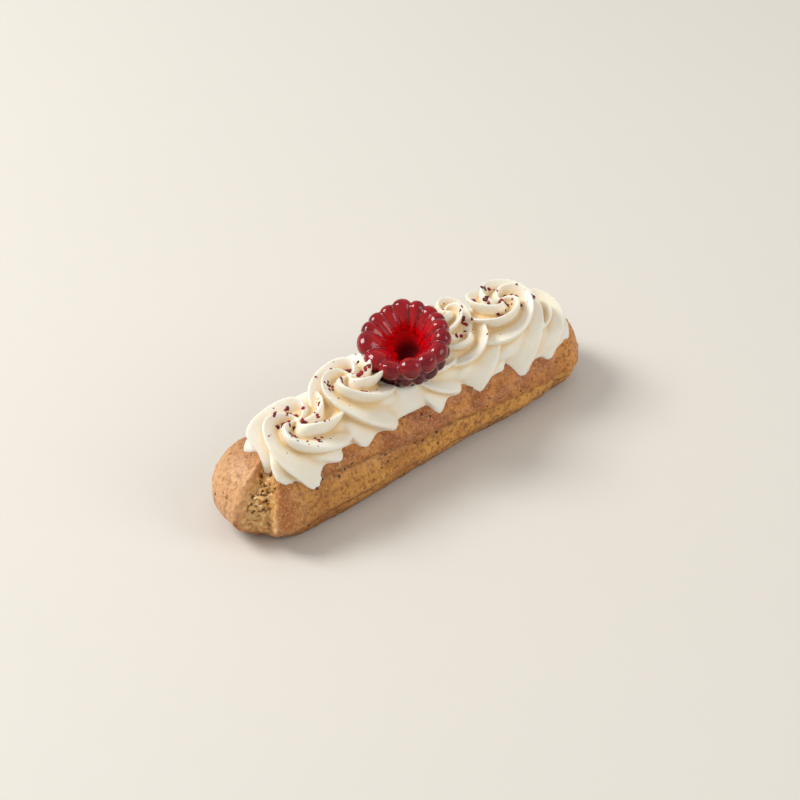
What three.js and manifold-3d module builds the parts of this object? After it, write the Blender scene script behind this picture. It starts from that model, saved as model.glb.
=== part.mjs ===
// An eclair: a baked choux finger under a row of piped cream swirls, with one red berry set in the cream.
// Millimetres, +Z up. The finger lies along X with its burst end at -X, and the front is -Y.
// The origin is the middle of the whole outline, on the face that it rests on.

import * as THREE from "three";
import { mergeVertices } from "three/addons/utils/BufferGeometryUtils.js";
import Module from "manifold-3d";

const wasm = await Module();
wasm.setup();

// Short names for small functions
const bell = (v) => Math.exp(-v * v);
const clamp = THREE.MathUtils.clamp;
const smooth = THREE.MathUtils.smoothstep;
const radians = THREE.MathUtils.degToRad;
const powered = (v, power) => Math.sign(v) * Math.abs(v) ** power;

// Choux finger
const FINGER_LENGTH = 125;
const FINGER_WIDTH = 31.5;
const FINGER_HEIGHT = 21.5;
const NEAR_ROUNDING = 17; // how far along X the rounding of the burst end reaches
const FAR_ROUNDING = 11.5;
const WAIST = 0.43 * FINGER_HEIGHT; // height of the widest line
const FOOT_SINK = 3.6; // how far the round underside would reach below the flat it was baked on, at most
const BOXINESS = 0.92; // 1 is an elliptical section, less is squarer
const FINGER_AROUND = 36;
const FINGER_ALONG = 36;

// Folds that run along the flanks: height above the table, depth, and the stretch of X that they cover
const FOLD_WIDTH = 1.8;
const FRONT_FOLDS = [
  { height: 15.2, depth: 0.7, from: -34, to: 52 },
  { height: 9.2, depth: 0.6, from: -38, to: 30 },
  { height: 4.6, depth: 0.9, from: -58, to: 6 },
];
const BACK_FOLDS = [
  { height: 13.5, depth: 0.7, from: -50, to: 30 },
  { height: 5.2, depth: 0.9, from: -20, to: 56 },
];

// The burst at the near end and the crease before the far end
const BURST_BEARING = radians(36); // from -X round towards the front
const BURST_HALF_WIDTH = 5.6;
const BURST_DEPTH = 2.4;
const LIP_HEIGHT = 0.7;
const CREASE_X = 46;
const CREASE_WIDTH = 2.2;
const CREASE_DEPTH = 0.9;

// Piped cream: a bed along the finger and a row of swirls on it
const CLEARANCE = 0.3; // left between the cream and what it touches
const SLIVER = 0.02; // thinner than this is not kept where solids are joined
const BED_LENGTH = 98;
const BED_HALF_WIDTH = 10;
const BED_HEIGHT = 7;
const RISE_STEPS = 10;
const FOLD_DEPTH = 7.5; // of the groove between two folds, far from the eye
const FOLD_FADE = 6; // radius at which the grooves have half of that depth
const CREST_ROUNDING = 1; // 1 leaves the crests sharp
const GROOVE_LEAN = 1.5; // 1 leaves each groove midway, more sets it nearer to the outer crest
const DOME_SQUARENESS = 0.7; // 1 is an elliptical dome, less is squarer
const SKIRT_FLARE = 0.14;
const EYE_DIP = 3.4;
const EYE_WIDTH = 0.38;
const BURIED = 4; // how far a swirl reaches down into the finger before it is trimmed

// Each swirl: stretch is its length to its width and blunt squares its ends; turn is the bearing of one point of
// its skirt; hem is the depth of the scallop between two points and wander how uneven the points are; twist is
// from the skirt to the eye, in folds; columns is how finely it is cut; flakes are the larger ones that lie on it.
const usual = { stretch: 1, blunt: 0, wander: 0, points: 8, folds: 4, columns: 24 };
const oval = { folds: 5, columns: 40, stretch: 1.18 };
const squared = { points: 10, folds: 5, columns: 30, stretch: 1.17, blunt: 0.37, wander: 2.6 };
const broad = { stretch: 1.05 };
const SWIRLS = [
  { x: -37.6, y: -1.3, radius: 13.9, height: 11, turn: -104, winding: -1, hem: 2.2, twist: 2.2, flakes: 10, ...squared },
  { x: -18.2, y: 0.3, radius: 13.1, height: 15, turn: -65, winding: -1, hem: 2.2, twist: 2.8, flakes: 8, ...oval },
  { x: 6, y: -0.5, radius: 12.4, height: 9, turn: -60, winding: -1, hem: 1.8, twist: 2.3, flakes: 0 },
  { x: 20.5, y: 5.4, radius: 9.6, height: 15.4, turn: 60, winding: 1, hem: 1.8, twist: 2.6, flakes: 0 },
  { x: 21, y: -0.5, radius: 13.2, height: 10.4, turn: -106, winding: 1, hem: 1.5, twist: 2.6, flakes: 3, ...broad },
  { x: 36.5, y: -0.5, radius: 14, height: 14.4, turn: -102, winding: 1, hem: 1.5, twist: 3, flakes: 8, ...broad },
  { x: 46.5, y: -1.5, radius: 12.8, height: 6.6, turn: -102, winding: 1, hem: 1.5, twist: 2.3, flakes: 1 },
].map((swirl) => ({ ...usual, ...swirl }));

// Dried berry flakes pressed into the swirls, the largest first
const FLAKE_SIZE = 1.5;
const FLAKE_SPREAD = 2.6;
const GOLDEN_ANGLE = Math.PI * (3 - Math.sqrt(5));

// Red berry, along its own axis with the hollow's mouth at the top
const BERRY_PLACE = new THREE.Vector3(1.1, -0.4, 34.1);
const BERRY_LEAN = radians(19); // towards the front left
const BERRY_FACING = radians(-160); // bearing that the mouth leans to, from +X
const SLOT_BEARING = radians(-120); // bearing in which the hollow is longer
const RIM_BACK = 49; // bearing of the back, as the photograph shows it, from +X
const RIM = [
  [-2, 2.3], [21, 1.8], [42, 2.2], [61, 1.8], [77, 1.8], [97, 2.2], [123, 2.9], [147, 2.4],
  [173, 2.8], [203, 2.8], [234, 3.1], [268, 3.1], [293, 2.2], [315, 2.1], [336, 2.1],
]; // degrees round the rim from the back, and half width 9 mm from the berry's axis
const RIM_TAPER = 0.4; // how much thinner a rim drupelet is at its end in the hollow
const RIM_START = new THREE.Vector3(11, 0, -0.5);
const RIM_OVER = new THREE.Vector3(12.4, 0, 7);
const RIM_END = new THREE.Vector3(3.6, 0, -2.4);
const BERRY_RINGS = [
  { count: 17, radius: 10.2, height: -3.2, across: 2.2, along: 2.5, slope: -18 },
  { count: 14, radius: 8.2, height: -6, across: 2.1, along: 2.3, slope: -42 },
  { count: 7, radius: 4.8, height: -7.8, across: 2.2, along: 2.2, slope: -66 },
];
const DRUPELET_THICK = 2.2; // half, on the rim
const ROW_THICK = 1.7; // half, in the rows below it
const SIZE_SPREAD = 0.12;
const CUP_RADIUS = 11.5;
const CUP_TOP = 2.6;
const CUP_BOTTOM = -8.8;
const HOLLOW_FLOOR = -7.2;
const BERRY_REACH = 11 + DRUPELET_THICK;
const SEAT_DEPTH = 0.78; // of the hollow in the cream, to its radius

// Share of the full section at a station: 1 along the straight run, rounding off to 0 at each tip.
function sectionShare(x) {
  const pastNear = (-FINGER_LENGTH / 2 + NEAR_ROUNDING - x) / NEAR_ROUNDING;
  const pastFar = (x - FINGER_LENGTH / 2 + FAR_ROUNDING) / FAR_ROUNDING;
  const past = clamp(Math.max(pastNear, pastFar), 0, 1);
  return Math.sqrt(1 - past * past);
}

// How far the round underside would reach below the table: less under the near end, which stands clear of it.
const footSink = (x) => FOOT_SINK * smooth(x, -62, -44);

// Height of the smooth finger's upper side over a point of its plan.
function fingerTop(x, y) {
  const share = sectionShare(clamp(x, -FINGER_LENGTH / 2 + 1, FINGER_LENGTH / 2 - 1));
  const across = clamp(Math.abs(y) / ((FINGER_WIDTH / 2) * share), 0, 0.985);
  const cosine = across ** (1 / BOXINESS);
  const sine = Math.sqrt(1 - cosine * cosine);
  return WAIST + (FINGER_HEIGHT - WAIST) * share * sine ** BOXINESS;
}

// Grooves along both flanks, each fading out at its ends.
function flankFolds(x, y, z) {
  const folds = y < 0 ? FRONT_FOLDS : BACK_FOLDS;
  let relief = 0;
  for (const fold of folds) {
    const sway = 0.6 * Math.sin(x / 9 + fold.height);
    const reach = smooth(x, fold.from, fold.from + 10) * (1 - smooth(x, fold.to - 10, fold.to));
    relief -= fold.depth * reach * bell((z - fold.height - sway) / FOLD_WIDTH);
  }
  return relief;
}

// The split at the near end: a sunken patch of open crumb between two raised lips.
function burst(x, y, z) {
  const beyond = -FINGER_LENGTH / 2 + NEAR_ROUNDING - x;
  if (beyond < 0) return 0;
  const aside = (Math.atan2(-y, beyond) - BURST_BEARING) * NEAR_ROUNDING;
  const half = BURST_HALF_WIDTH * (0.55 + 0.45 * smooth(z, 1, 9));
  const inside = 1 - smooth(Math.abs(aside), half * 0.55, half);
  const lips = bell((Math.abs(aside) - half * 1.35) / (half * 0.35));
  return smooth(z, 3, 9) * LIP_HEIGHT * lips - smooth(z, 0.5, 5) * BURST_DEPTH * inside;
}

// A crease down the front, short of the far end.
function farCrease(x, y, z) {
  if (y > 0) return 0;
  return -CREASE_DEPTH * bell((x - CREASE_X - 0.15 * z) / CREASE_WIDTH) * smooth(z, 1, 5);
}

// The uneven swelling of the bake.
function swelling(x, y, z) {
  const near = 0.5 * bell((x + 48) / 12);
  return near + 0.3 * Math.sin(x / 8 + y / 6) + 0.2 * Math.sin(x / 5 - z / 4 + 2);
}

// A vertex of the unit sphere, poles on X, moved to the finger's crust and then out by grow.
function crustPoint(vertex, grow) {
  const x = (vertex.x * FINGER_LENGTH) / 2;
  const share = sectionShare(x);
  const ring = Math.max(Math.hypot(vertex.y, vertex.z), 1e-9);
  const upper = vertex.z > 0 ? FINGER_HEIGHT - WAIST : WAIST + footSink(x);
  const y = (FINGER_WIDTH / 2) * share * powered(vertex.y / ring, BOXINESS);
  const z = WAIST + upper * share * powered(vertex.z / ring, BOXINESS);
  const spine = clamp(x, -FINGER_LENGTH / 2 + NEAR_ROUNDING, FINGER_LENGTH / 2 - FAR_ROUNDING);
  const outward = new THREE.Vector3(x - spine, y, z - WAIST).normalize();
  const relief = flankFolds(x, y, z) + burst(x, y, z) + farCrease(x, y, z) + swelling(x, y, z);
  const moved = new THREE.Vector3(x, y, z).addScaledVector(outward, relief + grow);
  moved.z = Math.max(moved.z, -grow);
  return moved;
}

function fingerGeometry(grow = 0) {
  const geometry = new THREE.SphereGeometry(1, FINGER_AROUND, FINGER_ALONG).rotateZ(Math.PI / 2);
  return moveVertices(geometry, (vertex) => crustPoint(vertex, grow));
}

// Every vertex of a geometry replaced by what place(vertex, index) gives.
function moveVertices(geometry, place) {
  const position = geometry.getAttribute("position");
  const vertex = new THREE.Vector3();
  for (let index = 0; index < position.count; index++) {
    const moved = place(vertex.fromBufferAttribute(position, index), index);
    position.setXYZ(index, moved.x, moved.y, moved.z);
  }
  return geometry;
}

// The low bed that the swirls are piped on.
function bedGeometry() {
  const straight = BED_LENGTH - 2 * BED_HALF_WIDTH;
  const geometry = new THREE.CapsuleGeometry(BED_HALF_WIDTH, straight, 4, 12, 12).rotateZ(Math.PI / 2);
  return moveVertices(geometry, ({ x, y, z }) => {
    return new THREE.Vector3(x, y, fingerTop(x, y) + (z * BED_HEIGHT) / BED_HALF_WIDTH);
  });
}

// Outline of a swirl's crests from the skirt (rise 0) to the eye (1), with the slope that they have there.
function swirlProfile(swirl, rise) {
  const angle = (rise * Math.PI) / 2;
  const out = Math.cos(angle);
  const up = Math.sin(angle);
  const share = (out ** DOME_SQUARENESS + SKIRT_FLARE * (1 - rise) ** 4) / (1 + SKIRT_FLARE);
  const height = up ** DOME_SQUARENESS * swirl.height - EYE_DIP * bell(share / EYE_WIDTH);
  return { radius: rise < 1 ? share * swirl.radius : 0, height, out, up };
}

// 0 on each of count crests, 1 at the bottom of the groove between two of them.
function groove(turn, count, lean, rounding) {
  const share = (turn * count) % 1;
  return Math.abs(Math.sin(Math.PI * share ** lean)) ** rounding;
}

// One star-nozzle swirl: folds that start at the points of its skirt and wind into its eye.
// The skirt drapes over the finger, and the top is level.
function swirlGeometry(swirl) {
  const outline = [new THREE.Vector2(0, -BURIED), new THREE.Vector2(swirl.radius, -BURIED)];
  for (let row = 0; row <= RISE_STEPS; row++) {
    const { radius, height } = swirlProfile(swirl, row / RISE_STEPS);
    outline.push(new THREE.Vector2(radius, height));
  }
  const geometry = new THREE.LatheGeometry(outline, swirl.columns);
  if (swirl.winding < 0) geometry.setIndex([...geometry.index.array].reverse());
  return moveVertices(geometry, (vertex, index) => {
    const column = Math.floor(index / outline.length);
    const row = index % outline.length;
    const rise = Math.max(0, row - 2) / RISE_STEPS;
    const { out, up } = swirlProfile(swirl, rise);
    const flat = Math.hypot(vertex.x, vertex.z);
    const turn = column / swirl.columns;
    const uneven = (swirl.wander * (1 - Math.cos(6 * Math.PI * turn - 0.94))) / 2;
    const hem = swirl.hem * groove(turn, swirl.points, 1, 2) + uneven;
    const valley = groove(turn, swirl.folds, GROOVE_LEAN, CREST_ROUNDING);
    const fold = (FOLD_DEPTH * valley * flat) / (flat + FOLD_FADE);
    const depth = flat > 0 ? THREE.MathUtils.lerp(hem, fold, smooth(rise, 0.03, 0.28)) : 0;
    const radius = flat - depth * out;
    const angle = radians(swirl.turn) + swirl.winding * 2 * Math.PI * (turn + (swirl.twist / swirl.folds) * rise);
    const length = swirl.stretch + swirl.blunt * Math.sin(angle) ** 2;
    const x = swirl.x + length * radius * Math.cos(angle);
    const y = swirl.y + radius * Math.sin(angle);
    const floor = THREE.MathUtils.lerp(fingerTop(x, y), fingerTop(swirl.x, swirl.y), rise);
    return new THREE.Vector3(x, y, floor + vertex.y - (row > 1 ? depth * up : 0));
  });
}

// Flakes on a golden-angle spiral round each eye, each lying on the cream below it and half sunk in.
function flakeGeometries(cream) {
  const mesh = new THREE.Mesh(toGeometry(cream));
  const flakes = [];
  for (const swirl of SWIRLS) {
    for (let step = 0; step < swirl.flakes; step++) {
      const bearing = step * GOLDEN_ANGLE + radians(swirl.turn);
      const away = FLAKE_SPREAD * Math.sqrt(step + 0.4);
      const above = new THREE.Vector3(Math.cos(bearing), Math.sin(bearing), 0).multiplyScalar(away);
      above.add(new THREE.Vector3(swirl.x, swirl.y, 100));
      if (Math.hypot(above.x - BERRY_PLACE.x, above.y - BERRY_PLACE.y) < BERRY_REACH + FLAKE_SIZE) continue;
      const [hit] = new THREE.Raycaster(above, new THREE.Vector3(0, 0, -1)).intersectObject(mesh);
      const size = FLAKE_SIZE * (1 - (0.4 * step) / swirl.flakes);
      const flake = new THREE.IcosahedronGeometry(size, 0).scale(1, 0.75, 0.35).rotateZ(5 * bearing);
      const lie = new THREE.Quaternion().setFromUnitVectors(new THREE.Vector3(0, 0, 1), hit.face.normal);
      flakes.push(flake.applyQuaternion(lie).translate(hit.point.x, hit.point.y, hit.point.z));
    }
  }
  return flakes;
}

// A long drupelet that bends over the rim and runs down into the hollow, which is longer towards the front.
function rimDrupelet([degrees, half], step) {
  const bearing = radians(RIM_BACK - degrees);
  const toward = Math.cos(bearing - SLOT_BEARING);
  const over = RIM_OVER.clone();
  over.x += 0.6 * Math.sin(3.1 * step);
  over.z += 1.2 * Math.sin(1.7 * step + 1) + 0.5 * toward;
  const end = RIM_END.clone();
  end.x += 0.5 * Math.sin(4.3 * step) + 2 * toward ** 2;
  end.z += 1.2 * toward ** 2;
  const path = new THREE.QuadraticBezierCurve3(RIM_START, over, end);
  const bent = moveVertices(new THREE.IcosahedronGeometry(1, 1), ({ x, y, z }) => {
    const share = (z + 1) / 2;
    const axis = path.getPoint(share);
    const ahead = path.getTangent(share);
    const blunt = (1.02 - z * z) ** -0.22;
    const thick = DRUPELET_THICK * Math.sqrt(half / 2.3) * (1 - RIM_TAPER * share) * blunt;
    const wide = ((half * (axis.x + 3)) / 12) * blunt;
    return new THREE.Vector3(axis.x + ahead.z * thick * x, wide * y, axis.z - ahead.x * thick * x);
  });
  return bent.rotateZ(bearing);
}

// A round drupelet, an ellipsoid laid on the berry's flank. No two neighbours are quite the same size.
function drupeletGeometry(ring, bearing) {
  const wide = ring.across * (1 + SIZE_SPREAD * Math.sin(5 * bearing + ring.height));
  const shape = new THREE.Matrix4().makeScale(ROW_THICK, wide, ring.along);
  const tilt = new THREE.Matrix4().makeRotationY(-radians(ring.slope));
  const place = new THREE.Matrix4().makeTranslation(ring.radius, 0, ring.height);
  const turn = new THREE.Matrix4().makeRotationZ(bearing);
  const matrix = turn.multiply(place).multiply(tilt).multiply(shape);
  return new THREE.IcosahedronGeometry(1, 0).applyMatrix4(matrix);
}

// The wall that the drupelets grow on, a cup that is open at the mouth.
function berryCup() {
  const outline = new THREE.CatmullRomCurve3([
    new THREE.Vector3(0, CUP_BOTTOM, 0),
    new THREE.Vector3(0.6 * CUP_RADIUS, 0.86 * CUP_BOTTOM, 0),
    new THREE.Vector3(0.96 * CUP_RADIUS, 0.35 * CUP_BOTTOM, 0),
    new THREE.Vector3(0.98 * CUP_RADIUS, 0, 0),
    new THREE.Vector3(0.88 * CUP_RADIUS, CUP_TOP, 0),
    new THREE.Vector3(0.64 * CUP_RADIUS, 0.6, 0),
    new THREE.Vector3(0.4 * CUP_RADIUS, 0.36 * HOLLOW_FLOOR, 0),
    new THREE.Vector3(0.18 * CUP_RADIUS, 0.8 * HOLLOW_FLOOR, 0),
    new THREE.Vector3(0, HOLLOW_FLOOR, 0),
  ]);
  const points = outline.getPoints(10).map((point) => new THREE.Vector2(Math.max(0, point.x), point.y));
  points[0].x = 0;
  points[points.length - 1].x = 0;
  return new THREE.LatheGeometry(points, 12).rotateX(Math.PI / 2);
}

// A closed geometry as a solid that can be joined and cut.
function toSolid(geometry) {
  const bare = geometry.clone();
  bare.deleteAttribute("normal");
  bare.deleteAttribute("uv");
  const merged = mergeVertices(bare, 1e-4);
  return new wasm.Manifold(
    new wasm.Mesh({
      numProp: 3,
      vertProperties: new Float32Array(merged.getAttribute("position").array),
      triVerts: new Uint32Array(merged.index.array),
    }),
  );
}

function toGeometry(solid) {
  const mesh = solid.getMesh();
  const geometry = new THREE.BufferGeometry();
  geometry.setAttribute("position", new THREE.BufferAttribute(mesh.vertProperties, 3));
  geometry.setIndex(new THREE.BufferAttribute(mesh.triVerts, 1));
  geometry.computeVertexNormals();
  return geometry;
}

const joined = (solids) => solids.reduce((whole, solid) => whole.add(solid));

// Where the berry stands in the cream.
function berryMatrix() {
  const lean = new THREE.Matrix4().makeRotationAxis(
    new THREE.Vector3(-Math.sin(BERRY_FACING), Math.cos(BERRY_FACING), 0),
    BERRY_LEAN,
  );
  return new THREE.Matrix4().makeTranslation(BERRY_PLACE).multiply(lean);
}

// A solid without slivers and without the gaps that are closed in inside it: merging its near-equal vertices parts
// it where it only touches itself, and the largest shell is kept.
function filled(solid) {
  const shells = toSolid(toGeometry(solid.simplify(SLIVER))).decompose();
  return shells.reduce((outer, shell) => (shell.volume() > outer.volume() ? shell : outer));
}

// Cup and drupelets in one.
function berrySolid() {
  const rim = RIM.map(rimDrupelet);
  const drupelets = BERRY_RINGS.flatMap((ring, index) =>
    Array.from({ length: ring.count }, (_, step) => {
      return drupeletGeometry(ring, ((step + ((index + 1) % 2) / 2) / ring.count) * 2 * Math.PI);
    }),
  );
  return filled(joined([berryCup(), ...rim, ...drupelets].map(toSolid)));
}

// The hollow that the berry presses into the cream.
function berrySeat() {
  const shape = new THREE.IcosahedronGeometry(BERRY_REACH + 2 * CLEARANCE, 3).scale(1, 1, SEAT_DEPTH);
  return toSolid(shape.applyMatrix4(berryMatrix()));
}

function creamSolid() {
  const heaped = joined([bedGeometry(), ...SWIRLS.map(swirlGeometry)].map(toSolid));
  const cream = heaped.subtract(toSolid(fingerGeometry(CLEARANCE))).subtract(berrySeat());
  return filled(joined([cream, ...flakeGeometries(cream).map(toSolid)]));
}

function piece(name, geometry, color, roughness) {
  const mesh = new THREE.Mesh(geometry, new THREE.MeshStandardMaterial({ color, roughness, metalness: 0 }));
  mesh.name = name;
  return mesh;
}

const eclair = new THREE.Group();
eclair.add(piece("choux_finger", toGeometry(toSolid(fingerGeometry())), 0xc38b4f, 0.6));
eclair.add(piece("piped_cream", toGeometry(creamSolid()), 0xf4ecd8, 0.5));
const berry = piece("red_berry", toGeometry(berrySolid()), 0x9c1226, 0.25);
berry.applyMatrix4(berryMatrix());
eclair.add(berry);

const box = new THREE.Box3().setFromObject(eclair);
const middle = box.getCenter(new THREE.Vector3());
eclair.position.set(-middle.x, -middle.y, -box.min.z);

export default eclair;
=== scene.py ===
# %% [markdown]
# An eclair: a baked choux finger that burst at one end, a row of piped cream swirls on top, dried
# berry flakes sprinkled over the cream, and one hollow red berry set in it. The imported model
# already has these forms as plain solids. This script builds the same forms again from the same
# formulas, with far smaller faces, and then adds what the solids leave out: crumb, wrinkles, soft
# crests, wet gloss and colour.

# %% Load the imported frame
import math
import random

import bmesh
import bpy
from mathutils import Matrix, Vector, noise
from mathutils.bvhtree import BVHTree


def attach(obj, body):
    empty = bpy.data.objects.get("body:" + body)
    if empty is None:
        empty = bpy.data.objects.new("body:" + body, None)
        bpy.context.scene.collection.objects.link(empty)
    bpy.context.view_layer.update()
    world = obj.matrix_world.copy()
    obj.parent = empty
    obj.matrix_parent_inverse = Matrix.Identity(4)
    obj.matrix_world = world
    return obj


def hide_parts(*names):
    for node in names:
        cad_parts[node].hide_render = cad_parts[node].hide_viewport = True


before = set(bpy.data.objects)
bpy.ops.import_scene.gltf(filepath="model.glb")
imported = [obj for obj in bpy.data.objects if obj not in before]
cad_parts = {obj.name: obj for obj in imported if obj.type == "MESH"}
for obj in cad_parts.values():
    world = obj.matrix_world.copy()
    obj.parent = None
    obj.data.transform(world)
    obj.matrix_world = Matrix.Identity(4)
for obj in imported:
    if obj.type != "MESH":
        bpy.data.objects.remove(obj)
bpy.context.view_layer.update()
print("solids in the frame:", sorted(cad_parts))

# %% [markdown]
# Every shape below is worked out in millimetres, because a baker thinks of a 125 mm finger and a
# 0.5 mm wrinkle, and is scaled to metres once, when a bmesh becomes an object. A few tiny
# functions do most of the shaping: a bell for ridges and grooves, and a smooth step for anything
# that fades in.

# %% Shaping functions
MM = 0.001
CENTRING = Vector((0, -0.049, 0))  # the solids were centred on their outline by this much


def bell(value):
    return math.exp(-value * value)


def clamp(value, low, high):
    return max(low, min(high, value))


def smooth(value, low, high):
    share = clamp((value - low) / (high - low), 0, 1)
    return share * share * (3 - 2 * share)


def powered(value, power):
    return math.copysign(abs(value) ** power, value)


def rough(x, y, z, size, octaves=3):
    """Fractal noise between about -1 and 1, with features of the given size."""
    return noise.fractal(Vector((x, y, z)) / size, 1.0, 2.0, octaves)


def as_object(name, bm):
    """The bmesh, drawn in millimetres, as an object in metres that sits at the origin."""
    bmesh.ops.translate(bm, vec=CENTRING, verts=bm.verts)
    bmesh.ops.scale(bm, vec=(MM, MM, MM), verts=bm.verts)
    mesh = bpy.data.meshes.new(name)
    bm.to_mesh(mesh)
    bm.free()
    mesh.polygons.foreach_set("use_smooth", [True] * len(mesh.polygons))
    made = bpy.data.objects.new(name, mesh)
    bpy.context.scene.collection.objects.link(made)
    return made


print("a bell at its middle and one width away:", bell(0), round(bell(1), 2))

# %% [markdown]
# The choux finger is a swollen loaf with a flat foot. It could be carved from a cube with a
# subdivision surface, but its skin needs thousands of small dents, so it starts as a UV sphere
# with its poles at the two tips, and every vertex is sent to the loaf's surface by one formula: a
# rounded section, shrinking towards each tip.

# %% Section of the finger
FINGER_LENGTH = 125
FINGER_WIDTH = 31.5
FINGER_HEIGHT = 21.5
NEAR_ROUNDING = 17
FAR_ROUNDING = 11.5
WAIST = 0.43 * FINGER_HEIGHT
FOOT_SINK = 3.6
FOOT_FADE = (-62, -44)  # the foot comes down to the table between these x
BOXINESS = 0.92
EDGE_SHARE = 0.985  # of the half width, where the top is taken to end
TIP_MARGIN = 1


def section_share(x):
    past_near = (-FINGER_LENGTH / 2 + NEAR_ROUNDING - x) / NEAR_ROUNDING
    past_far = (x - FINGER_LENGTH / 2 + FAR_ROUNDING) / FAR_ROUNDING
    past = clamp(max(past_near, past_far), 0, 1)
    return math.sqrt(1 - past * past)


def foot_sink(x):
    """Reach of the round underside below the table, which fades to none at the near tip."""
    return FOOT_SINK * smooth(x, *FOOT_FADE)


def finger_top(x, y):
    end = FINGER_LENGTH / 2 - TIP_MARGIN
    share = section_share(clamp(x, -end, end))
    across = clamp(abs(y) / (FINGER_WIDTH / 2 * share), 0, EDGE_SHARE)
    cosine = across ** (1 / BOXINESS)
    return WAIST + (FINGER_HEIGHT - WAIST) * share * math.sqrt(1 - cosine * cosine) ** BOXINESS


print("top of the finger at its middle:", round(finger_top(0, 0), 2), "mm")

# %% [markdown]
# As the paste swells in the oven its skin sets, folds and splits. The long folds run along both
# flanks, the near end burst open to show the crumb, and a crease runs down the front before the
# far end. Each is a groove or ridge that is added to the loaf along its outward direction, so they
# can be mixed freely.

# %% Folds, burst and crease that the solids have too
FOLD_WIDTH = 1.8
FOLD_SWAY = 0.6
FOLD_ENDS = 10
# height, depth, from x, to x
FRONT_FOLDS = ((15.2, 0.7, -34, 52), (9.2, 0.6, -38, 30), (4.6, 0.9, -58, 6))
BACK_FOLDS = ((13.5, 0.7, -50, 30), (5.2, 0.9, -20, 56))
BURST_BEARING = math.radians(36)
BURST_HALF_WIDTH = 5.6
BURST_DEPTH = 2.4
LIP_HEIGHT = 0.7
CREASE_X = 46
CREASE_WIDTH = 2.2
CREASE_DEPTH = 0.9
CREASE_LEAN = 0.15


def flank_folds(x, y, z):
    relief = 0
    for height, depth, start, end in FRONT_FOLDS if y < 0 else BACK_FOLDS:
        sway = FOLD_SWAY * math.sin(x / 9 + height)
        reach = smooth(x, start, start + FOLD_ENDS) * (1 - smooth(x, end - FOLD_ENDS, end))
        relief -= depth * reach * bell((z - height - sway) / FOLD_WIDTH)
    return relief


def burst_aside(x, y):
    """Distance round the near end from the middle of the burst, or None away from that end."""
    beyond = -FINGER_LENGTH / 2 + NEAR_ROUNDING - x
    return None if beyond < 0 else (math.atan2(-y, beyond) - BURST_BEARING) * NEAR_ROUNDING


def burst(x, y, z):
    aside = burst_aside(x, y)
    if aside is None:
        return 0
    half = BURST_HALF_WIDTH * (0.55 + 0.45 * smooth(z, 1, 9))
    inside = 1 - smooth(abs(aside), half * 0.55, half)
    lips = bell((abs(aside) - half * 1.35) / (half * 0.35))
    return smooth(z, 3, 9) * LIP_HEIGHT * lips - smooth(z, 0.5, 5) * BURST_DEPTH * inside


def far_crease(x, y, z):
    if y > 0:
        return 0
    aside = x - CREASE_X - CREASE_LEAN * z
    return -CREASE_DEPTH * bell(aside / CREASE_WIDTH) * smooth(z, 1, 5)


def swelling(x, y, z):
    """A bulge behind the near end, and low waves along the whole finger."""
    return (0.5 * bell((x + 48) / 12) + 0.3 * math.sin(x / 8 + y / 6)
            + 0.2 * math.sin(x / 5 - z / 4 + 2))


print("folds on the front and the back:", len(FRONT_FOLDS), len(BACK_FOLDS))

# %% [markdown]
# Close up, the skin also has what is too fine for the solids: a ragged ledge where the browned top
# laps over the paler flank, thin wrinkle lines, small bumps, and in the burst a torn, pitted
# crumb. The same numbers that dent the skin are kept as vertex attributes, so that the colours can
# follow them exactly.

# %% Fine relief of the skin
# height, depth, half width, how unbroken
WRINKLES = ((4.6, 0.6, 0.4, 0.3), (11.8, 0.2, 0.35, -0.05))
LEDGE_FRONT = 13.2
LEDGE_BACK = 12
LEDGE_SLOPE = 0.11
LEDGE_FADE = (-46, -36)  # the ledge starts between these x
LEDGE_LAP = 0.32
LEDGE_CUT = 0.2
FLANK = (8, 12)  # wrinkles begin between these distances from the middle
SWELL_HEIGHT = 0.2
BLISTER_HEIGHT = 0.5
LINE_DEPTH = 0.09
PEBBLE_HEIGHT = 0.07
PEBBLE_MORE = 0.11  # past the smooth near end


def ledge_height(x, y):
    """Where the browned top ends on a flank: high at the near end, lower towards the far end."""
    middle = (LEDGE_FRONT if y < 0 else LEDGE_BACK) - LEDGE_SLOPE * x
    return middle + 1.3 * rough(x, 0, y / 4, 13) + 0.5 * rough(x, 0, 9, 3)


def ledge(x, y, z):
    below = ledge_height(x, y) - z
    lap = LEDGE_LAP * smooth(below, 0.35, -0.35) * bell((below + 0.3) / 3.2)
    return (lap - LEDGE_CUT * bell((below - 0.4) / 0.45)) * smooth(x, *LEDGE_FADE)


def wrinkles(x, y, z):
    depth = 0
    for height, most, half_width, unbroken in WRINKLES:
        line = height + 1.3 * rough(x, height, y / 5, 16) + 0.5 * rough(x, height, 3, 4)
        shown = smooth(rough(x, height * 3, 0, 22) + 0.25 + unbroken, 0, 0.35)
        depth += most * shown * bell((z - line) / half_width)
    return depth * smooth(abs(y), *FLANK)


def skin_bumps(x, y, z):
    """Swellings, pebbles and blisters, and fine lines that run down the round near end."""
    blisters = BLISTER_HEIGHT * smooth(rough(x, y, z + 20, 3.6, 1), 0.5, 0.75)
    around = math.atan2(y, x + 45) * NEAR_ROUNDING
    lines = LINE_DEPTH * rough(around, z / 7, 0, 1.1) * (1 - smooth(x, -48, -36))
    pebbles = (PEBBLE_HEIGHT + PEBBLE_MORE * smooth(x, -56, -40)) * rough(x, y, z, 1.7)
    return SWELL_HEIGHT * rough(x, y, z, 5) + pebbles + blisters + lines


print("ledge on the front at the middle:", round(ledge_height(0, -FINGER_WIDTH / 2), 1), "mm up")

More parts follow.
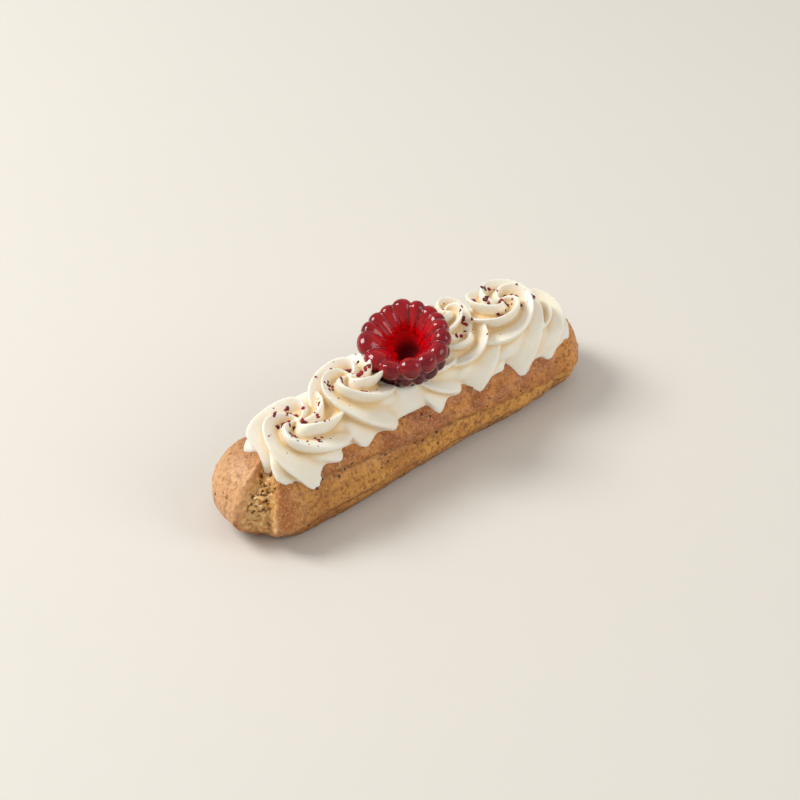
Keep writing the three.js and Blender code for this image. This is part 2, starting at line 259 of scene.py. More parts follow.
# %% Torn crumb of the burst
def burst_edges(aside, half, z):
    """A groove under the left lip of the burst, and a rounded, swollen lip on its right."""
    left = 0.35 * bell((aside + half * 1.15) / 0.8) - 0.7 * bell((aside + half * 0.86) / 0.55)
    return (left + 0.5 * bell((aside - half * 1.12) / 1.2)) * smooth(z, 1.5, 5)


def crumb(x, y, z):
    """Torn crumb share, relief, painted shade in pits and crack, and how toasted the lip is."""
    aside = burst_aside(x, y)
    if aside is None:
        return 0, 0, 0, 0
    aside += 0.9 * rough(0, y / 3, z, 4, 2)
    half = BURST_HALF_WIDTH * (0.6 + 0.42 * smooth(z, 1, 9)) + 0.6 * rough(x, y, z, 2.6)
    share = (1 - smooth(abs(aside), half * 0.8, half)) * smooth(z, 0.8, 3.5)
    pits = smooth(rough(x, y, z, 1.1, 2), 0.08, 0.45) * (0.15 + 0.85 * smooth(z - aside, 7, 14))
    crack = (bell((aside - 2.3 - 0.6 * rough(z, 0, 0, 2)) / 0.32) * smooth(z, 2, 4)
             * (1 - smooth(z, 8, 10)))
    lumps = 0.75 * rough(x, y, z + 40, 3) + 0.25 * rough(x, y, z, 0.9, 2)
    relief = (lumps - 0.7 * pits - 0.9 * crack) * share + burst_edges(aside, half, z)
    toasted = bell((aside - half * 1.4) / 3.2) * smooth(z + 3 * rough(x, y, z, 4), 3, 10)
    toasted += bell((aside + half * 1.05) / 0.8) * smooth(z, 2, 4) * (1 - smooth(z, 8, 11))
    return share, relief, share * max(pits, crack), min(toasted, 1)


burst_x = -FINGER_LENGTH / 2 + NEAR_ROUNDING * (1 - math.cos(BURST_BEARING))
burst_y = -NEAR_ROUNDING * math.sin(BURST_BEARING)
print("torn share in the middle of the burst:", round(crumb(burst_x, burst_y, WAIST)[0], 2))

# %% Crust of the finger
# marks for the colours; the second and third carry painted shade, in creases and in pits
CRUST_MARKS = ("torn", "crease_shade", "pit_shade", "toasted", "browned")
BROWNED_FADE = 0.7
# depth of a wrinkle at which its painted shade is full
DARKEST_WRINKLE = 0.5
CRUST_AROUND = 220
CRUST_ALONG = 340


def crust_point(unit, grow=0, fine=True):
    """A vertex of the unit sphere, poles on X, moved to the crust, and its marks."""
    x = unit.x * FINGER_LENGTH / 2
    share = section_share(x)
    ring = max(math.hypot(unit.y, unit.z), 1e-9)
    upper = FINGER_HEIGHT - WAIST if unit.z > 0 else WAIST + foot_sink(x)
    y = FINGER_WIDTH / 2 * share * powered(unit.y / ring, BOXINESS)
    z = WAIST + upper * share * powered(unit.z / ring, BOXINESS)
    spine = clamp(x, -FINGER_LENGTH / 2 + NEAR_ROUNDING, FINGER_LENGTH / 2 - FAR_ROUNDING)
    outward = Vector((x - spine, y, z - WAIST)).normalized()
    relief = flank_folds(x, y, z) + burst(x, y, z) + far_crease(x, y, z) + swelling(x, y, z) + grow
    torn = crease_shade = pit_shade = toasted = browned = 0
    if fine:
        torn, crumb_relief, pit_shade, toasted = crumb(x, y, z)
        wrinkle = wrinkles(x, y, z)
        below = ledge_height(x, y) - z
        browned = smooth(below, BROWNED_FADE, -BROWNED_FADE)
        # painted shade: in each wrinkle, and in a line under the lapping ledge
        shadow = 0.55 * bell((below - 0.35) / 0.5) * smooth(x, *LEDGE_FADE)
        crease_shade = clamp(wrinkle / DARKEST_WRINKLE + shadow, 0, 1)
        relief += (skin_bumps(x, y, z) + ledge(x, y, z) - wrinkle) * (1 - torn) + crumb_relief
    moved = Vector((x, y, z)) + outward * relief
    moved.z = max(moved.z, -grow)
    return moved, (torn, crease_shade, pit_shade, toasted, browned)


def crust_shell(around, along, grow=0, fine=True):
    bm = bmesh.new()
    bmesh.ops.create_uvsphere(bm, u_segments=around, v_segments=along, radius=1)
    bmesh.ops.rotate(bm, verts=bm.verts, matrix=Matrix.Rotation(math.pi / 2, 3, "Y"))
    layers = [bm.verts.layers.float.new(name) for name in CRUST_MARKS]
    for vertex in bm.verts:
        vertex.co, marks = crust_point(vertex.co, grow, fine)
        for layer, mark in zip(layers, marks):
            vertex[layer] = mark
    bmesh.ops.recalc_face_normals(bm, faces=bm.faces)
    return bm


choux = as_object("choux_crust", crust_shell(CRUST_AROUND, CRUST_ALONG))
print("crust:", len(choux.data.polygons), "faces")

# %% [markdown]
# Cream piped through a star nozzle stands in a few folds that rise from a scalloped skirt and wind
# into the eye of each swirl. One upright strip of vertices is spun into a plain tube, and the tube
# is then moved row by row and column by column on to the swirl, which keeps the faces even along
# every fold.

# %% Spin a strip into a tube
def spun_tube(rows, columns):
    """A tube of radius 1 whose rows stand at the given heights."""
    bm = bmesh.new()
    strip = [bm.verts.new((1, 0, row)) for row in rows]
    edges = [bm.edges.new(pair) for pair in zip(strip, strip[1:])]
    bmesh.ops.spin(bm, geom=strip + edges, cent=(0, 0, 0), axis=(0, 0, 1), angle=2 * math.pi,
                   steps=columns, use_merge=True)
    return bm


def close_shell(bm):
    """Merge each pole to one vertex and turn the faces outwards."""
    bmesh.ops.remove_doubles(bm, verts=bm.verts, dist=1e-4)
    bmesh.ops.recalc_face_normals(bm, faces=bm.faces)


# %% Form of a swirl
ARM_STEPS = 14
RISE_STEPS = 56
FOLD_DEPTH = 7.5
FOLD_FADE = 6
CREST_ROUNDING = 1.0
GROOVE_LEAN = 1.5
FOLD_UNEVENNESS = 0.25
DOME_SQUARENESS = 0.7
SKIRT_FLARE = 0.14
EYE_DIP = 3.4
EYE_WIDTH = 0.38
BURIED = 4
HEM_RISE = (0.03, 0.28)  # the hem gives way to the folds between these
WANDER_WAVES = 3
WANDER_PHASE = 0.94
# x, y, half width, length to width, bluntness of the ends, height, bearing of a point, winding,
# points of the skirt, their depth and how uneven they are, folds, and twist from the skirt to the
# eye in widths of a fold
SWIRLS = (
    (-37.6, -1.3, 13.9, 1.17, 0.37, 11, -104, -1, 10, 2.2, 2.6, 5, 2.2),
    (-18.2, 0.3, 13.1, 1.18, 0, 15, -65, -1, 8, 2.2, 0, 5, 2.8),
    (6, -0.5, 12.4, 1, 0, 9, -60, -1, 8, 1.8, 0, 4, 2.3),
    (20.5, 5.4, 9.6, 1, 0, 15.4, 60, 1, 8, 1.8, 0, 4, 2.6),
    (21, -0.5, 13.2, 1.05, 0, 10.4, -106, 1, 8, 1.5, 0, 4, 2.6),
    (36.5, -0.5, 14, 1.05, 0, 14.4, -102, 1, 8, 1.5, 0, 4, 3.0),
    (46.5, -1.5, 12.8, 1, 0, 6.6, -102, 1, 8, 1.5, 0, 4, 2.3),
)


def swirl_profile(rise):
    angle = rise * math.pi / 2
    out, up = max(math.cos(angle), 0), math.sin(angle)
    radius = (out ** DOME_SQUARENESS + SKIRT_FLARE * (1 - rise) ** 4) / (1 + SKIRT_FLARE)
    return radius, up ** DOME_SQUARENESS, out, up


def groove(bearing, count, lean, rounding):
    """0 on each crest and 1 at the bottom of each groove, which lean sets off the middle."""
    share = bearing * count / (2 * math.pi) % 1
    return abs(math.sin(math.pi * share ** lean)) ** rounding


def swirl_point(swirl, vertex):
    """A vertex of the tube, whose rows go from -2 (buried) to 1 (the eye), on the swirl."""
    (swirl_x, swirl_y, size, stretch, blunt, tall, turn, winding,
     points, scallop, wander, folds, twist) = swirl
    bearing = math.atan2(vertex.y, vertex.x)
    rise = clamp(vertex.z, 0, 1)
    radius, height, out, up = swirl_profile(rise)
    flat = 0 if vertex.z < -1.5 or vertex.z > 0.9999 else radius * size
    level = height * tall - EYE_DIP * bell(radius / EYE_WIDTH) if vertex.z > -0.5 else -BURIED
    around = Vector((math.cos(bearing), math.sin(bearing), swirl_x))
    uneven = 1 + FOLD_UNEVENNESS * noise.noise(around * 2)
    stray = (1 - math.cos(WANDER_WAVES * bearing - WANDER_PHASE)) / 2
    hem = scallop * groove(bearing, points, 1, 2) + wander * stray
    valley = groove(bearing, folds, GROOVE_LEAN, CREST_ROUNDING)
    fold = FOLD_DEPTH * uneven * valley * flat / (flat + FOLD_FADE)
    depth = (hem + (fold - hem) * smooth(rise, *HEM_RISE)) * (flat > 0)
    angle = math.radians(turn) + winding * (bearing + twist / folds * 2 * math.pi * rise)
    x = swirl_x + (stretch + blunt * math.sin(angle) ** 2) * (flat - depth * out) * math.cos(angle)
    y = swirl_y + (flat - depth * out) * math.sin(angle)
    floor = finger_top(x, y) + (finger_top(swirl_x, swirl_y) - finger_top(x, y)) * rise
    return Vector((x, y, floor + level - (depth * up if vertex.z > -0.5 else 0)))


def swirl_object(index, swirl):
    rows = [-2, -1] + [row / RISE_STEPS for row in range(RISE_STEPS + 1)]
    skirt_points = swirl[8]
    bm = spun_tube(rows, skirt_points * ARM_STEPS)
    for vertex in bm.verts:
        vertex.co = swirl_point(swirl, vertex.co)
    close_shell(bm)
    return as_object(f"swirl_{index}", bm)


swirls = [swirl_object(index, swirl) for index, swirl in enumerate(SWIRLS)]
print("swirls:", len(swirls), "with", sum(len(made.data.polygons) for made in swirls), "faces")

# %% [markdown]
# Under the swirls lies a low bed of cream that runs the length of the finger, and the berry
# presses a hollow into the middle. The bed is a sphere stretched to a long capsule and draped over
# the finger's top.

# %% Bed of cream
BED_LENGTH = 98
BED_HALF_WIDTH = 10
BED_HEIGHT = 7
BED_SPLIT = 4  # the sphere's halves part between minus this and plus this


def bed_object():
    bm = bmesh.new()
    bmesh.ops.create_uvsphere(bm, u_segments=48, v_segments=96, radius=BED_HALF_WIDTH)
    bmesh.ops.rotate(bm, verts=bm.verts, matrix=Matrix.Rotation(math.pi / 2, 3, "Y"))
    straight = BED_LENGTH / 2 - BED_HALF_WIDTH
    for vertex in bm.verts:
        x = vertex.co.x + straight * smooth(vertex.co.x, -BED_SPLIT, BED_SPLIT) * 2 - straight
        height = vertex.co.z * BED_HEIGHT / BED_HALF_WIDTH
        vertex.co = (x, vertex.co.y, finger_top(x, vertex.co.y) + height)
    close_shell(bm)
    return as_object("cream_bed", bm)


bed = bed_object()
print("bed:", len(bed.data.polygons), "faces")

# %% Where the berry stands
BERRY_PLACE = Vector((1.1, -0.4, 34.1))
BERRY_LEAN = math.radians(19)
BERRY_FACING = math.radians(-160)
DRUPELET_THICK = 2.2
BERRY_REACH = 11 + DRUPELET_THICK
SEAT_INSET = 0.5
SEAT_DEPTH = 0.76
BERRY_MATRIX = Matrix.Translation(BERRY_PLACE) @ Matrix.Rotation(
    BERRY_LEAN, 4, Vector((-math.sin(BERRY_FACING), math.cos(BERRY_FACING), 0)))


def seat_object():
    """The hollow that the berry presses into the cream."""
    bm = bmesh.new()
    bmesh.ops.create_icosphere(bm, subdivisions=5, radius=BERRY_REACH - SEAT_INSET)
    bmesh.ops.scale(bm, vec=(1, 1, SEAT_DEPTH), verts=bm.verts)
    bmesh.ops.transform(bm, matrix=BERRY_MATRIX, verts=bm.verts)
    return as_object("berry_seat", bm)


seat = seat_object()
print("seat:", len(seat.data.polygons), "faces")

# %% [markdown]
# Where swirls meet, the soft cream runs together with a fine crease. A Boolean union makes them
# one closed skin, two more cut away what the finger and the berry fill, and a voxel remesh with a
# little smoothing rounds every crest and hem by the same small amount, which no bevel would do on
# a shape like this.

# %% Join, cut and soften
def softened(name, solids, cutters, voxel, relaxing):
    """The solids as one new object, joined, cut, remeshed to even faces and relaxed."""
    heap = bpy.data.collections.new(name + "_heap")
    bpy.context.scene.collection.children.link(heap)
    first, *others = solids
    for other in others:
        bpy.context.scene.collection.objects.unlink(other)
        heap.objects.link(other)
    union = first.modifiers.new("union", "BOOLEAN")
    union.operation, union.solver = "UNION", "MANIFOLD"
    union.operand_type, union.collection = "COLLECTION", heap
    for cutter in cutters:
        cut = first.modifiers.new("cut", "BOOLEAN")
        cut.operation, cut.solver, cut.object = "DIFFERENCE", "MANIFOLD", cutter
    remesh = first.modifiers.new("remesh", "REMESH")
    remesh.mode, remesh.voxel_size = "VOXEL", voxel * MM
    relax = first.modifiers.new("relax", "SMOOTH")
    relax.factor, relax.iterations = 0.5, relaxing
    evaluated = first.evaluated_get(bpy.context.evaluated_depsgraph_get())
    mesh = bpy.data.meshes.new_from_object(evaluated)
    for spent in [*solids, *cutters]:
        bpy.data.objects.remove(spent)
    bpy.data.collections.remove(heap)
    mesh.name = name
    mesh.materials.clear()
    mesh.polygons.foreach_set("material_index", [0] * len(mesh.polygons))
    mesh.polygons.foreach_set("use_smooth", [True] * len(mesh.polygons))
    made = bpy.data.objects.new(name, mesh)
    bpy.context.scene.collection.objects.link(made)
    return made


CREAM_OVERLAP = 0.4  # the cream reaches this far into the crust, so no gap shows
CUTTER_AROUND = 90
CUTTER_ALONG = 140
cutter = crust_shell(CUTTER_AROUND, CUTTER_ALONG, grow=-CREAM_OVERLAP, fine=False)
under_cream = as_object("under_cream", cutter)
cream = softened("whipped_cream", [bed, *swirls], [under_cream, seat], voxel=0.375, relaxing=1)
print("cream:", len(cream.data.polygons), "faces")

# %% [markdown]
# Whipped cream looks yellower and darker where it is folded in, because light bounces there many
# times, and that shade is painted. A number for it is worked out on the mesh: it is smoothed many
# times over, each vertex is asked how far that moved it out or in, and then the mesh is put back.
# The same helper serves the berry, whose grooves get painted shade.

# %% Depth of hollows as an attribute
def mark_hollows(made, rounds, full):
    """Adds the attribute hollow: 0 on crests, 0.5 on even skin, 1 in grooves full mm deep."""
    bm = bmesh.new()
    bm.from_mesh(made.data)
    bm.normal_update()
    before = [(vertex.co.copy(), vertex.normal.copy()) for vertex in bm.verts]
    for _ in range(rounds):
        bmesh.ops.smooth_vert(bm, verts=bm.verts, factor=1, use_axis_x=True, use_axis_y=True,
                              use_axis_z=True)
    layer = bm.verts.layers.float.new("hollow")
    for vertex, (place_before, normal) in zip(bm.verts, before):
        outward = (vertex.co - place_before).dot(normal)
        vertex[layer] = clamp(0.5 + 0.5 * outward / (full * MM), 0, 1)
        vertex.co = place_before
    bm.to_mesh(made.data)
    bm.free()


mark_hollows(cream, rounds=38, full=0.8)
print("attributes of the cream:", [each.name for each in cream.data.attributes])

# %% [markdown]
# The flakes are crumbs of dried berry: dark, hard-edged, from 3 mm clumps down to specks. Each is
# an icosahedron with its corners pushed about, and a clump is a few of them side by side. They lie
# in a golden-angle spiral round each eye, the large ones first, and each is dropped on to the
# cream by a ray from above.

# %% Sprinkle the flakes
GOLDEN_ANGLE = math.pi * (3 - math.sqrt(5))
FLAKE_SIZE = 1.5
FLAKE_SHRINKING = 0.4
FLAKE_SPREAD = 2.6
FIRST_AWAY = 0.4
DROP_HEIGHT = 100
CLUMP_COUNTS = (2, 3, 6, 8)
CLUMP_SPREAD = 0.6
LARGE_FLAKES = (10, 8, 0, 0, 3, 8, 1)  # on each swirl
SPECKS = (34, 34, 0, 3, 8, 18, 4)
SPECK_SIZES = (0.2, 0.25, 0.3, 0.45)
SPECK_REACH = 0.75  # of the swirl's half width
chance = random.Random(7)


def add_crumb(bm, tint_layer, spot, normal, size, tint):
    """A flat, jagged crumb of dried berry, lying on the cream at the spot."""
    made = bmesh.ops.create_icosphere(bm, subdivisions=1, radius=1)["verts"]
    for vertex in made:
        vertex.co *= chance.uniform(0.7, 1.25)
        vertex[tint_layer] = tint
    shape = Matrix.Diagonal((size, size * chance.uniform(0.6, 0.95),
                             size * chance.uniform(0.35, 0.6), 1))
    turn = Matrix.Rotation(chance.uniform(0, 2 * math.pi), 4, "Z")
    lie = normal.to_track_quat("Z", "Y").to_matrix().to_4x4()
    bmesh.ops.transform(bm, matrix=Matrix.Translation(spot) @ lie @ turn @ shape, verts=made)


def sprinkle(cream_tree):
    bm = bmesh.new()
    tint_layer = bm.verts.layers.float.new("tint")

    def drop(x, y, size):
        if math.hypot(x - BERRY_PLACE.x, y - BERRY_PLACE.y) < BERRY_REACH + size:
            return
        start = Vector((x, y, DROP_HEIGHT)) * MM
        hit, normal, _, _ = cream_tree.ray_cast(start, Vector((0, 0, -1)))
        if hit:
            add_crumb(bm, tint_layer, hit / MM, normal, size, chance.random())

    for (x, y, radius, _, _, _, turn, *_), large, specks in zip(SWIRLS, LARGE_FLAKES, SPECKS):
        for step in range(large):
            bearing = step * GOLDEN_ANGLE + math.radians(turn)
            away = FLAKE_SPREAD * math.sqrt(step + FIRST_AWAY)
            size = FLAKE_SIZE * (1 - FLAKE_SHRINKING * step / large)
            for _ in range(chance.choice(CLUMP_COUNTS)):
                drop(x + away * math.cos(bearing) + chance.gauss(0, CLUMP_SPREAD * size),
                     y + away * math.sin(bearing) + chance.gauss(0, CLUMP_SPREAD * size),
                     size * chance.uniform(0.4, 0.65))
        for _ in range(specks):
            bearing = chance.uniform(0, 2 * math.pi)
            away = radius * SPECK_REACH * math.sqrt(chance.random())
            drop(x + away * math.cos(bearing), y + away * math.sin(bearing),
                 chance.choice(SPECK_SIZES))
    bmesh.ops.recalc_face_normals(bm, faces=bm.faces)
    bmesh.ops.translate(bm, vec=-CENTRING, verts=bm.verts)  # the cream was centred already
    return as_object("dried_flakes", bm)


flakes = sprinkle(BVHTree.FromObject(cream, bpy.context.evaluated_depsgraph_get()))
print("flakes:", len(flakes.data.polygons) // 20, "crumbs of 20 faces")

# %% [markdown]
# The berry is a hollow cup of drupelets, mouth up. Those on the rim are long and run over into the
# hollow, and those below are rounder. Each is a small icosphere, squashed and turned into its
# place in a ring, and the cup's wall is a profile spun round the axis. Joined and softened as the
# cream was, they become one skin.

# %% Drupelets
RIM = (  # degrees round the rim from the back, and half width
    (-2, 2.3), (21, 1.8), (42, 2.2), (61, 1.8), (77, 1.8), (97, 2.2), (123, 2.9), (147, 2.4),
    (173, 2.8), (203, 2.8), (234, 3.1), (268, 3.1), (293, 2.2), (315, 2.1), (336, 2.1),
)
RIM_BACK = 49
# a rim drupelet bends from the first point past the second to the third, inside the hollow
RIM_PATH = (Vector((11, 0, -0.5)), Vector((12.4, 0, 7)), Vector((3.6, 0, -2.4)))
RIM_TAPER = 0.4
RIM_HALF_WIDTH = 2.3  # of a drupelet of usual thickness
BLUNTNESS = 0.22
WEDGE = (-3, 9)  # distance from the axis at which its width would be none, and is full
SLOT_BEARING = math.radians(-120)
BERRY_RINGS = (  # count, radius, height, half width, half length, slope in degrees
    (17, 10.2, -3.2, 2.2, 2.5, -18),
    (14, 8.2, -6, 2.1, 2.3, -42),
    (7, 4.8, -7.8, 2.2, 2.2, -66),
)
ROW_THICK = 1.7
SIZE_SPREAD = 0.12


def rim_drupelet(step, degrees, half):
    """A long drupelet that bends over the rim and runs down into the hollow."""
    bearing = math.radians(RIM_BACK - degrees)
    toward = math.cos(bearing - SLOT_BEARING)
    start, over, end = RIM_PATH
    over = over + Vector((0.6 * math.sin(3.1 * step), 0,
                          1.2 * math.sin(1.7 * step + 1) + 0.5 * toward))
    end = end + Vector((0.5 * math.sin(4.3 * step) + 2 * toward ** 2, 0, 1.2 * toward ** 2))
    bm = bmesh.new()
    bmesh.ops.create_icosphere(bm, subdivisions=4, radius=1)
    for vertex in bm.verts:
        share = (vertex.co.z + 1) / 2
        axis = start * (1 - share) ** 2 + over * 2 * share * (1 - share) + end * share ** 2
        ahead = ((over - start) * (1 - share) + (end - over) * share).normalized()
        outward = Vector((ahead.z, 0, -ahead.x))
        blunt = (1.02 - vertex.co.z ** 2) ** -BLUNTNESS
        thick = DRUPELET_THICK * math.sqrt(half / RIM_HALF_WIDTH) * (1 - RIM_TAPER * share) * blunt
        wide = half * (axis.x - WEDGE[0]) / (WEDGE[1] - WEDGE[0]) * blunt
        vertex.co = axis + outward * thick * vertex.co.x + Vector((0, wide * vertex.co.y, 0))
    bmesh.ops.transform(bm, matrix=BERRY_MATRIX @ Matrix.Rotation(bearing, 4, "Z"), verts=bm.verts)
    bmesh.ops.recalc_face_normals(bm, faces=bm.faces)
    return as_object(f"rim_drupelet_{step}", bm)


def drupelet_object(name, ring, bearing):
    _, radius, height, across, along, slope = ring
    wide = across * (1 + SIZE_SPREAD * math.sin(5 * bearing + height))
    bm = bmesh.new()
    bmesh.ops.create_icosphere(bm, subdivisions=4, radius=1)
    shape = Matrix.Diagonal((ROW_THICK, wide, along, 1))
    tilt = Matrix.Rotation(-math.radians(slope), 4, "Y")
    turn = Matrix.Rotation(bearing, 4, "Z")
    matrix = BERRY_MATRIX @ turn @ Matrix.Translation((radius, 0, height)) @ tilt @ shape
    bmesh.ops.transform(bm, matrix=matrix, verts=bm.verts)
    return as_object(name, bm)


drupelets = [rim_drupelet(step, *sizes) for step, sizes in enumerate(RIM)]
for index, ring in enumerate(BERRY_RINGS):
    for step in range(ring[0]):
        bearing = (step + (index + 1) % 2 / 2) / ring[0] * 2 * math.pi
        drupelets.append(drupelet_object(f"drupelet_{index}_{step}", ring, bearing))
print("drupelets:", len(drupelets))

# %% Wall of the berry
CUP_RADIUS = 11.5
CUP_TOP = 2.6
CUP_BOTTOM = -8.8
HOLLOW_FLOOR = -7.2
WALL_STEPS = 72
CUP_OUTLINE = (
    (0, CUP_BOTTOM), (0.6 * CUP_RADIUS, 0.86 * CUP_BOTTOM),
    (0.96 * CUP_RADIUS, 0.35 * CUP_BOTTOM), (0.98 * CUP_RADIUS, 0),
    (0.88 * CUP_RADIUS, CUP_TOP), (0.64 * CUP_RADIUS, 0.6),
    (0.4 * CUP_RADIUS, 0.36 * HOLLOW_FLOOR), (0.18 * CUP_RADIUS, 0.8 * HOLLOW_FLOOR),
    (0, HOLLOW_FLOOR),
)


def berry_wall():
    bm = bmesh.new()
    strip = [bm.verts.new((radius, 0, height)) for radius, height in CUP_OUTLINE]
    edges = [bm.edges.new(pair) for pair in zip(strip, strip[1:])]
    bmesh.ops.subdivide_edges(bm, edges=edges, cuts=4, smooth=1.0)
    bmesh.ops.spin(bm, geom=[*bm.verts, *bm.edges], cent=(0, 0, 0), axis=(0, 0, 1),
                   angle=2 * math.pi, steps=WALL_STEPS, use_merge=True)
    close_shell(bm)
    bmesh.ops.transform(bm, matrix=BERRY_MATRIX, verts=bm.verts)
    return as_object("berry_wall", bm)


berry = softened("hollow_berry", [berry_wall(), *drupelets], [], voxel=0.26, relaxing=2)
mark_hollows(berry, rounds=6, full=0.16)
print("berry:", len(berry.data.polygons), "faces")

# %% Depths in the berry as attributes
HOLLOW_EDGE = (6.5, 9)  # the hollow gives way to the flank between these radii


def mark_depths(made):
    """Adds inside (1 down in the hollow), under (1 low on the flank) and lit (1 on the rim)."""
    names = ("inside", "under", "lit")
    inside, under, lit = (made.data.attributes.new(name, "FLOAT", "POINT") for name in names)
    to_berry = BERRY_MATRIX.inverted()
    for vertex in made.data.vertices:
        across, deep, height = to_berry @ (vertex.co / MM - CENTRING)
        away = math.hypot(across, deep)
        inside.data[vertex.index].value = smooth(height, 4, -8) * (1 - smooth(away, *HOLLOW_EDGE))
        # under marks where painted shade darkens the berry low on its flank
        under.data[vertex.index].value = smooth(height, 3.5, -2.5) * smooth(away, *HOLLOW_EDGE)
        lit.data[vertex.index].value = bell((away - 6.5) / 2.6) * smooth(height, -2.5, 1)


mark_depths(berry)
print("attributes of the berry:", [each.name for each in berry.data.attributes])

# %% [markdown]
# All finishes are built from nodes. Small helpers place a node with its inputs, remap a value or
# mix two colours, and one node group gives broad patches and fine grain on Object coordinates. It
# is built once, and each finish uses it with its own sizes.

# %% Node helpers
def feed(tree, node, inputs):
    """Gives each input of the node its value, or links it to the socket that feeds it."""
    for socket, value in inputs.items():
        if isinstance(value, bpy.types.NodeSocket):
            tree.links.new(value, node.inputs[socket])
        else:
            node.inputs[socket].default_value = value


def place(tree, kind, inputs=None, **settings):
    """A new node with its settings and inputs."""
    made = tree.nodes.new(kind)
    for name, value in settings.items():
        setattr(made, name, value)
    feed(tree, made, inputs or {})
    return made


def attribute(tree, name):
    return place(tree, "ShaderNodeAttribute", attribute_name=name).outputs["Fac"]


def calculated(tree, how, first, second):
    return place(tree, "ShaderNodeMath", {0: first, 1: second}, operation=how).outputs["Value"]


def weighted(tree, value, weight):
    return calculated(tree, "MULTIPLY", value, weight)


def stepped(tree, value, low, high, start=0.0, end=1.0):
    """A value that goes smoothly from start to end as the given one goes from low to high."""
    inputs = {"Value": value, "From Min": low, "From Max": high, "To Min": start, "To Max": end}
    made = place(tree, "ShaderNodeMapRange", inputs, interpolation_type="SMOOTHSTEP")
    return made.outputs["Result"]


def speckled(tree, spot, scale, detail):
    """Noise between 0 and 1 at the spot, with the given number of features to a metre."""
    inputs = {"Vector": spot, "Scale": scale, "Detail": detail}
    return place(tree, "ShaderNodeTexNoise", inputs).outputs["Fac"]


# %% Colour and bump helpers
def colour(code):
    """A colour written as six hexadecimal digits, as the linear values that a shader takes."""
    shares = [int(code[at:at + 2], 16) / 255 for at in (0, 2, 4)]
    linear = [v / 12.92 if v <= 0.04045 else ((v + 0.055) / 1.055) ** 2.4 for v in shares]
    return (*linear, 1.0)


def mixed(tree, share, first, second):
    """The colour that goes from first to second as share goes from 0 to 1."""
    made = place(tree, "ShaderNodeMix", {0: share, 6: first, 7: second}, data_type="RGBA")
    return made.outputs[2]


def blended(tree, share, first, second):
    """The value that goes from first to second as share goes from 0 to 1."""
    return place(tree, "ShaderNodeMix", {0: share, 2: first, 3: second}).outputs[0]


def bumped(tree, height, distance, strength):
    inputs = {"Height": height, "Distance": distance, "Strength": strength}
    return place(tree, "ShaderNodeBump", inputs).outputs["Normal"]


# %% Patches and grain, one group for all finishes
def patches_and_grain():
    group = bpy.data.node_groups.new("patches_and_grain", "ShaderNodeTree")
    for name in ("Patch Size", "Grain Size"):
        group.interface.new_socket(name, in_out="INPUT", socket_type="NodeSocketFloat")
    for name in ("Patches", "Grain"):
        group.interface.new_socket(name, in_out="OUTPUT", socket_type="NodeSocketFloat")
    given = place(group, "NodeGroupInput")
    spot = place(group, "ShaderNodeTexCoord").outputs["Object"]
    result = place(group, "NodeGroupOutput")
    for size, detail, name in (("Patch Size", 3, "Patches"), ("Grain Size", 5, "Grain")):
        scale = calculated(group, "DIVIDE", 1.0, given.outputs[size])
        feed(group, result, {name: speckled(group, spot, scale, detail)})
    return group


PATCHES_AND_GRAIN = patches_and_grain()


def new_finish(name, patch_size, grain_size):
    """A material, its tree and shader, and its patches and grain, with their sizes in metres."""
    material = bpy.data.materials.new(name)
    material.use_nodes = True
    tree = material.node_tree
    shader = tree.nodes["Principled BSDF"]
    texture = place(tree, "ShaderNodeGroup", node_tree=PATCHES_AND_GRAIN)
    feed(tree, texture, {"Patch Size": patch_size, "Grain Size": grain_size})
    return material, tree, shader, texture.outputs["Patches"], texture.outputs["Grain"]


print("node group:", PATCHES_AND_GRAIN.name, "with", len(PATCHES_AND_GRAIN.nodes), "nodes")

# %% [markdown]
# Baked choux is browned on top, down to the ragged ledge, and stayed more golden on the flanks,
# with painted shade in the creases and under the ledge, fine upright streaks, small dark pores and
# pale specks painted as tiny highlights. Painted light lightens the far end and a painted sheen
# the near tip. The foot is browned from the tray and darkened by painted shade. The crumb in the
# burst is yellow-brown, with painted shade in its pits and crack, and still moist, so it glints.
# Attributes made with the crust say where the browned top, the creases and the crumb are.

# %% Baked tones, painted light and pores of the crust
STREAK_STRETCH = 0.22  # height is shortened by this, so streaks stand upright


def baked_tones_and_painted_light(tree, along, patches, grain):
    """Golden flanks and a browned top, changing towards the two tips, the foot and the burst."""
    flank = mixed(tree, stepped(tree, patches, 0.35, 0.65), colour("e2a048"), colour("bc782a"))
    # painted light: the flank turns lighter towards the far end
    flank = mixed(tree, stepped(tree, along["X"], -0.03, 0.045, 0.0, 0.6), flank, colour("ecaa52"))
    top = mixed(tree, stepped(tree, patches, 0.35, 0.65), colour("d48a40"), colour("ac6028"))
    skin = mixed(tree, attribute(tree, "browned"), flank, top)
    for axis, low, high, start, end, code in (("X", -0.045, -0.01, 0.4, 0.0, "a86c2e"),
                                              # painted light on the far tip
                                              ("X", 0.044, 0.056, 0.0, 0.5, "e89e44"),
                                              # a painted sheen on the near tip
                                              ("X", -0.058, -0.044, 0.75, 0.0, "e8b280"),
                                              # the foot: browned where it baked on the tray, and
                                              # darkened by painted shade
                                              ("Z", 0.0015, 0.006, 0.85, 0.0, "74400f")):
        skin = mixed(tree, stepped(tree, along[axis], low, high, start, end), skin, colour(code))
    skin = mixed(tree, weighted(tree, attribute(tree, "toasted"), 0.9), skin, colour("aa5c12"))
    browner = calculated(tree, "MULTIPLY", stepped(tree, grain, 0.48, 0.66, 0.0, 0.72),
                         stepped(tree, along["X"], -0.058, -0.044, 0.5, 1.0))
    return mixed(tree, browner, skin, colour("8c4e1a"))


